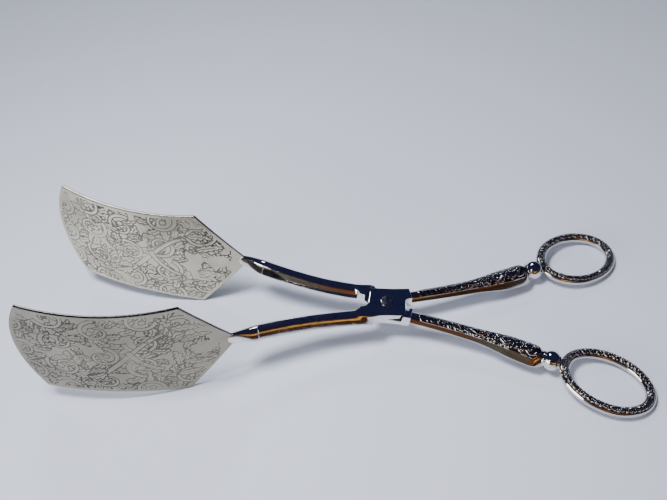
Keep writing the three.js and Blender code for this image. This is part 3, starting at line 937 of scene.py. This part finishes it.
def ring_band(length):
    """The leaf border of a ring, unrolled: distance round it by distance across it."""
    rng = np.random.default_rng(8)
    sheet = Ornament((-2, -2.4), (length + 2, 2.4), pitch=0.08, reach=0.6)
    count = round(length / LAUREL["period"])
    for k in range(-1, count + 1):
        a = k * length / count
        leaf(sheet, (a + 0.6, 1.5), -2.2, 2.4, 0.6, 0.7, 2, veins=False)
        leaf(sheet, (a, -1.5), rng.uniform(0.5, 0.9), rng.uniform(2.4, 3.0), 0.75, 0.75, 3,
             veins=False)
        leaf(sheet, (a + 1.2, 1.5), rng.uniform(-1.1, -0.6), rng.uniform(1.7, 2.2), 0.55, -0.7, 2,
             veins=False)
        disc(sheet, (a + 0.45, 0.9 + rng.uniform(-0.15, 0.15)), 0.36)
        disc(sheet, (a + 2.2, -1.0 + rng.uniform(-0.15, 0.15)), 0.32)
    return sheet.finish()


def ring_oval():
    """The ring's middle line, its outward directions and the distance round to each point."""
    turn = np.linspace(0, 2 * np.pi, RING_STEPS, endpoint=False)
    radii = np.array([RING["long"], RING["short"]]) - RING["band"] / 2
    level = np.zeros((RING_STEPS, 1))
    line = np.hstack([radii * compass(turn), level])
    outward = unit_rows(np.hstack([compass(turn) / radii, level]))
    return line, outward, run_along(np.vstack([line, line[:1]]))


def finger_ring(arm, sheet):
    """An oval ring, arched on top with a sunk band of leaves, rounded beneath."""
    line, outward, run = ring_oval()
    half, height = RING["band"] / 2, RING["height"] / 2
    u = np.linspace(1, -1, ARCH["top_points"] - 20)
    below = swell(compass(under_side(ARCH["low_points"] - 10)), 0.8)
    base = height - LAUREL["arch"]
    x = np.concatenate([half * u, half * below[:, 0]])[None]
    z = np.concatenate([height - LAUREL["arch"] * u * u, base + (base + height) * below[:, 1]])[None]
    lateral = np.concatenate([np.abs(u), np.ones(len(below))])
    in_panel = smoothstep(LAUREL["share"] + 0.07, LAUREL["share"] - 0.07, lateral)[None]
    around = np.broadcast_to(run[:-1, None], (RING_STEPS, x.shape[1]))
    raised = smoothstep(-0.1, 0.3, sheet.signed(around, np.broadcast_to(x, around.shape) * 1.1))
    x, z = push_out(x, z, in_panel * (LAUREL["rise"] * raised - LAUREL["recess"]))
    local = line[:, None] + outward[:, None] * x[..., None] + z[..., None] * UP
    return build_piece(f"{arm['name']}_ring_relief", ring_place(arm["side"], local).reshape(-1, 3),
                       grid_quads(*around.shape, across=True, along=True),
                       relief=(1 - in_panel * (1 - raised)).ravel())


# ---------------- the pivot
PIVOT_LINE = (np.zeros(3), UP, np.array([1.0, 0, 0]), np.array([0, 1.0, 0]))


def rivet():
    """A countersunk head that domes just over the hub, and a peened tail under the burr."""
    top, tail_top = HUB["top"], -HUB["top"] - BURR["thickness"]
    quarter = np.linspace(0, 1, 14) * np.pi / 2
    seat, rise = top - SEAT_GAP, RIVET["proud"] + SEAT_GAP
    head = [(RIVET["head"] * math.cos(a), seat + rise * math.sin(a) ** 0.8) for a in quarter[:-1]]
    tail = [(RIVET["tail"] * math.sin(a), tail_top - RIVET["tail_height"] * math.cos(a))
            for a in quarter[1:]]
    shank = [(RIVET["shank"], tail_top), (RIVET["shank"], top - RIVET["head_depth"]),
             (RIVET["head"] - 0.05, top - 0.1)]
    return build_tube("pivot_rivet_turned", turned(tail + shank + head, *PIVOT_LINE))


def rivet_burr():
    """The washer under the rivet's tail, its lower rim rounded."""
    inner, outer = RIVET["shank"] + PIN_PLAY, BURR["radius"]
    soft, bevel = BURR["soft"], BURR["bevel"]
    top = -HUB["top"] - SEAT_GAP
    low = top - BURR["thickness"]
    rounded = arc((outer - soft, low + soft), soft, -np.pi / 2, 0, 7)
    profile = [(inner, low), *rounded, (outer, top - bevel), (outer - bevel, top), (inner, top)]
    rings = turned(profile, *PIVOT_LINE)
    return build_piece("rivet_burr_washer", rings.reshape(-1, 3),
                       grid_quads(*rings.shape[:2], across=True, along=True))


# ---------------- materials
class Nodes:
    """A short way to write the nodes of a material or of the world."""

    def __init__(self, owner, coordinates="Object"):
        owner.use_nodes = True
        self.owner, self.tree = owner, owner.node_tree
        self.shader = self.tree.nodes.get("Principled BSDF")
        self.where = self.add("ShaderNodeTexCoord").outputs[coordinates]

    def add(self, kind, **settings):
        node = self.tree.nodes.new(kind)
        for key, value in settings.items():
            setattr(node, key, value)
        return node

    def link(self, source, target):
        """Feeds a socket from another node, or sets it to a number or a colour."""
        if hasattr(source, "is_output"):
            self.tree.links.new(source, target)
        else:
            target.default_value = (*source, 1) if isinstance(source, tuple) else source

    def noise(self, scale, detail=3.0, stretch=(1, 1, 1), roughness=0.55):
        mapping, node = self.add("ShaderNodeMapping"), self.add("ShaderNodeTexNoise")
        self.link(self.where, mapping.inputs["Vector"])
        mapping.inputs["Scale"].default_value = stretch
        self.link(mapping.outputs["Vector"], node.inputs["Vector"])
        for key, number in (("Scale", scale), ("Detail", detail), ("Roughness", roughness)):
            self.link(number, node.inputs[key])
        return node.outputs["Fac"]

    def attribute(self, name):
        return self.add("ShaderNodeAttribute", attribute_name=name).outputs["Fac"]

    def span(self, value, low, high, to_low=0.0, to_high=1.0):
        """A smooth step that goes from to_low at low to to_high at high."""
        node = self.add("ShaderNodeMapRange", interpolation_type="SMOOTHSTEP")
        for key, source in zip(("Value", "From Min", "From Max", "To Min", "To Max"),
                               (value, low, high, to_low, to_high)):
            self.link(source, node.inputs[key])
        return node.outputs["Result"]

    def fall(self, value, high, low):
        """A smooth step down, from 1 at low to 0 at high."""
        return self.span(value, low, high, 1.0, 0.0)

    def maths(self, operation, a, b):
        node = self.add("ShaderNodeMath", operation=operation)
        self.link(a, node.inputs[0])
        self.link(b, node.inputs[1])
        return node.outputs[0]

    def times(self, a, b):
        return self.maths("MULTIPLY", a, b)

    def mix(self, part, a, b):
        node = self.add("ShaderNodeMix", data_type="RGBA")
        self.link(part, node.inputs["Factor"])
        self.link(a, node.inputs[6])
        self.link(b, node.inputs[7])
        return node.outputs[2]

    def bump(self, height, distance, strength, under=None):
        node = self.add("ShaderNodeBump")
        self.link(height, node.inputs["Height"])
        self.link(distance, node.inputs["Distance"])
        self.link(strength, node.inputs["Strength"])
        if under is not None:
            self.link(under, node.inputs["Normal"])
        return node.outputs["Normal"]

    def metal(self, slot, colour, roughness, normal):
        """Finishes a metal, and returns it with the CAD's name for it."""
        for key, source in (("Metallic", 1.0), ("Base Color", colour), ("Roughness", roughness),
                            ("Normal", normal)):
            self.link(source, self.shader.inputs[key])
        return {"node": self.owner, "slot": slot}


def material_nodes(name):
    return Nodes(bpy.data.materials.new(name))


def hairlines(nodes, along, under=None):
    """Fine scratches drawn mostly one way, as bump."""
    fine = nodes.noise(900, 4, along)
    return nodes.bump(nodes.span(fine, 0.52, 0.7), 0.00002, 0.35, under)


def polished_plate():
    nodes = material_nodes("polished_silver_plate")
    smudge = nodes.noise(90, 4)
    spots = nodes.noise(420, 3)
    tone = nodes.mix(nodes.span(spots, 0.56, 0.72), (0.80, 0.785, 0.77), (0.60, 0.57, 0.54))
    rough = nodes.span(smudge, 0.35, 0.75, 0.07, 0.17)
    normal = hairlines(nodes, (0.35, 1.6, 1.6))
    wavy = nodes.bump(nodes.noise(160, 2), 0.0002, 0.12, normal)
    return nodes.metal("polished_plate", tone, rough, wavy)


def engraved_plate(name, tone, cut_depth, roughness):
    """Satin plate with darkened lines. tone scales its colour, and roughness is its range."""
    nodes = material_nodes(name)
    away, rim = nodes.attribute("engraved"), nodes.attribute("rim")
    width = nodes.span(nodes.noise(70, 4), 0.3, 0.7, 0.27, 0.42)
    line = nodes.span(away, nodes.maths("SUBTRACT", width, 0.2), width, 1.0, 0.0)
    tarnish = nodes.times(line, nodes.span(nodes.noise(45, 3), 0.3, 0.7, 0.6, 0.97))
    blotch = nodes.span(nodes.noise(55, 5, roughness=0.65), 0.38, 0.68)
    bright, dull, painted_ground_shade = (tuple(v * tone for v in colour) for colour in
                         ((0.93, 0.855, 0.65), (0.72, 0.66, 0.50), (0.52, 0.485, 0.39)))
    ground = nodes.mix(blotch, bright, dull)
    # painted highlight along the cuts: the ground away from the lines is darkened, so a lighter band
    # lies beside each cut
    ground = nodes.mix(nodes.times(nodes.span(away, 0.45, 0.68), 0.34), ground, painted_ground_shade)
    colour = nodes.mix(tarnish, ground, (0.06, 0.055, 0.05))
    colour = nodes.mix(rim, colour, (0.10, 0.085, 0.08))
    rough = nodes.maths("ADD", nodes.span(blotch, 0, 1, *roughness), nodes.times(line, 0.2))
    rough = nodes.span(rim, 0, 1, rough, 0.13)
    cut = nodes.bump(nodes.span(away, 0.06, 0.42), cut_depth, 0.8)
    brushed = nodes.bump(nodes.noise(1400, 3), 0.00003, 0.5, cut)
    normal = hairlines(nodes, (1.4, 0.5, 1.0), brushed)
    return nodes.metal("engraved_plate", colour, rough, normal)


def relief_plate():
    """Plate that is bright on the raised parts and darkened in the recesses."""
    nodes = material_nodes("oxidised_relief_plate")
    dirt = nodes.span(nodes.noise(500, 3), 0.3, 0.7, -0.12, 0.12)
    high = nodes.span(nodes.maths("ADD", nodes.attribute("relief"), dirt), 0.25, 0.85)
    tone = nodes.mix(nodes.noise(160, 3), (0.70, 0.68, 0.66), (0.54, 0.51, 0.485))
    colour = nodes.mix(high, (0.20, 0.185, 0.18), tone)
    rough = nodes.span(high, 0, 1, 0.27, 0.1)
    normal = nodes.bump(nodes.noise(900, 3), 0.00004, 0.3)
    return nodes.metal("relief_plate", colour, rough, normal)


def rivet_metal():
    nodes = material_nodes("rivet_plate")
    tone = nodes.mix(nodes.noise(600, 4), (0.72, 0.70, 0.68), (0.5, 0.48, 0.46))
    rough = nodes.span(nodes.noise(500, 3), 0.3, 0.7, 0.14, 0.3)
    return nodes.metal("rivet_metal", tone, rough, hairlines(nodes, (1.0, 1.0, 0.3)))


# ---------------- the stage
FLOOR_HALF = 3.0
SURROUND = 0.85  # radius of the backdrop, m
CAMERA = {"lens": 37.84, "place": (0.02404, -0.17288, 0.24614), "turn": (41.4636, 5.0375, 1.8554)}
# name, place, aim, size, watts, colour, whether the metal mirrors it
LIGHTS = (
    ("key", (-0.10, -0.06, 0.43), (0, 0, 0), (0.11, 0.11), 3.0, (1.0, 0.985, 0.97), False),
    ("fill", (0.1, -0.7, 0.9), (0, 0, 0), (1.6, 1.6), 3.2, (1.0, 0.96, 0.94), False),
    ("window", (-0.83, -0.545, 0.33), (0, 0, 0.02), (0.78, 0.28), 5.2, (1.0, 0.98, 0.95), True),
    ("sash", (-0.509, -0.491, 0.707), (-0.06, 0.02, 0.01), (0.17, 0.13), 0.65, (1.0, 0.98, 0.95), True),
    ("skylight", (-0.246, 0.78, 0.986), (-0.1, 0.03, 0.06), (0.2, 0.18), 2.4, (0.92, 0.96, 1.0), True),
)
# colour of the room by the sine of the elevation, away from the warm light
ROOM = ((0.0, (0.035, 0.024, 0.02)), (0.12, (0.06, 0.048, 0.034)), (0.32, (0.075, 0.062, 0.045)),
        (0.45, (0.016, 0.014, 0.03)), (1.0, (0.013, 0.015, 0.05)))
NAVY = (0.013, 0.016, 0.055)
# what the front of the room holds: (colour, strength, and where it fades in and out, as parts
# of the direction's Z and then X)
FRONT = (((1.0, 0.27, 0.07), 0.06, (0.02, 0.16, 0.44, 0.62), (-0.1, 0.1, 0.6, 0.85)),
         ((1.0, 0.29, 0.07), 0.26, (0.06, 0.2, 0.44, 0.62), (-0.40, -0.18, -0.05, 0.2)),
         ((1.0, 0.50, 0.13), 1.15, (0.23, 0.32, 0.38, 0.47), (-0.16, 0.1, 0.42, 0.62)),
         ((0.34, 0.32, 0.25), 0.55, (-0.1, 0.05, 0.5, 0.72), (-0.95, -0.80, -0.40, -0.16)))


def stage_mesh(name, points, quads, nodes):
    """Something that only the picture needs, with its material."""
    mesh = bpy.data.meshes.new(name)
    mesh.from_pydata(points, [], quads)
    mesh.materials.append(nodes.owner)
    thing = add_object(name, mesh)
    return thing


def floor():
    """A plain pale floor."""
    nodes = material_nodes("pale_matt_floor")
    tone = nodes.mix(nodes.noise(3, 4), (0.58, 0.635, 0.77), (0.615, 0.665, 0.79))
    nodes.link(tone, nodes.shader.inputs["Base Color"])
    nodes.link(0.62, nodes.shader.inputs["Roughness"])
    half = FLOOR_HALF
    corners = [(-half, -half, 0), (half, -half, 0), (half, half, 0), (-half, half, 0)]
    stage_mesh("studio_floor", corners, [(0, 1, 2, 3)], nodes)


def surround():
    """A pale plain backdrop all round, seen only directly: it neither lights nor mirrors."""
    nodes = material_nodes("pale_backdrop")
    for key, source in (("Base Color", (0, 0, 0)), ("Emission Color", (0.42, 0.44, 0.48)),
                        ("Emission Strength", 0.8)):
        nodes.link(source, nodes.shader.inputs[key])
    angle = np.linspace(0, 2 * np.pi, 64, endpoint=False)
    rise = np.linspace(0, 0.5 * np.pi, 12)
    points = [(math.cos(e) * math.cos(a), math.cos(e) * math.sin(a), math.sin(e))
              for e in rise for a in angle]
    quads = grid_quads(len(rise), len(angle), across=True)
    dome = stage_mesh("studio_surround", (SURROUND * np.array(points)).tolist(), quads.tolist(), nodes)
    dome.visible_diffuse = dome.visible_glossy = dome.visible_shadow = False
    dome.visible_transmission = False


def camera():
    """Seen from in front of the tongs and about 48 degrees above the table."""
    data = bpy.data.cameras.new("view")
    data.sensor_width = 36.0
    data.lens = CAMERA["lens"]
    data.clip_start = 0.005
    eye = add_object("view", data)
    eye.location = CAMERA["place"]
    eye.rotation_euler = [math.radians(a) for a in CAMERA["turn"]]
    bpy.context.scene.camera = eye


def lights():
    for name, location, target, size, watts, colour, mirrored in LIGHTS:
        data = bpy.data.lights.new(name, "AREA")
        data.shape = "RECTANGLE"
        data.size, data.size_y = size
        data.energy, data.color = watts, colour
        lamp = add_object(name, data)
        lamp.location = location
        aim = Vector(target) - Vector(location)
        lamp.rotation_euler = aim.to_track_quat("-Z", "Y").to_euler()
        lamp.visible_glossy = mirrored


def world():
    """A dim room: navy behind and above, brown in front with low warm lights."""
    nodes = Nodes(bpy.data.worlds.new("room"), "Generated")
    bpy.context.scene.world = nodes.owner
    split = nodes.add("ShaderNodeSeparateXYZ")
    nodes.link(nodes.where, split.inputs["Vector"])
    x, y, z = split.outputs
    room = nodes.add("ShaderNodeValToRGB")
    nodes.link(z, room.inputs["Fac"])
    elements = room.color_ramp.elements
    while len(elements) < len(ROOM):
        elements.new(0.5)
    for element, (at, colour) in zip(elements, ROOM):
        element.position, element.color = at, (*colour, 1)
    around = nodes.mix(nodes.fall(y, 0.15, -0.25), NAVY, room.outputs["Color"])
    streaks = nodes.span(nodes.noise(4.0, 2.0, roughness=0.5), 0.2, 0.6)
    facing = nodes.times(nodes.fall(y, -0.25, -0.5), streaks)
    for colour, strength, height, sideways in FRONT:
        part = facing
        for axis, (start, full, still, end) in ((z, height), (x, sideways)):
            part = nodes.times(part, nodes.times(nodes.span(axis, start, full),
                                                 nodes.fall(axis, end, still)))
        around = nodes.mix(part, around, tuple(c * strength for c in colour))
    nodes.link(around, nodes.tree.nodes["Background"].inputs["Color"])


# ---------------- the tongs
def tongs():
    polished, relief, pin = polished_plate(), relief_plate(), rivet_metal()
    # the upper blade's copy of the engraved plate has its colour scaled much darker than the lower
    # one's (0.385 against 0.8)
    plate = {"upper": engraved_plate("engraved_darker_plate", 0.385, 0.00013, (0.27, 0.37)),
             "lower": engraved_plate("engraved_silver_plate", 0.8, 0.00022, (0.20, 0.32))}
    panel, band = handle_panel(), ring_band(ring_oval()[2][-1])
    for arm in (UPPER, LOWER):
        name = arm["name"]
        place(blade(arm, engraving(arm["seed"])), name, f"{name}_blade", plate[name])
        place(blade_neck(arm), name, f"{name}_blade_socket", polished)
        place(arm_forging(arm), name, f"{name}_arm", polished)
        place(handle_grip(arm, panel), name, f"{name}_handle_grip", relief)
        place(knop(arm), name, f"{name}_knop", polished)
        place(finger_ring(arm, band), name, f"{name}_finger_ring", relief)
    place(rivet(), "lower", "pivot_rivet", pin)
    place(rivet_burr(), "lower", "rivet_burr", pin)


camera()
world()
lights()
floor()
surround()
tongs()
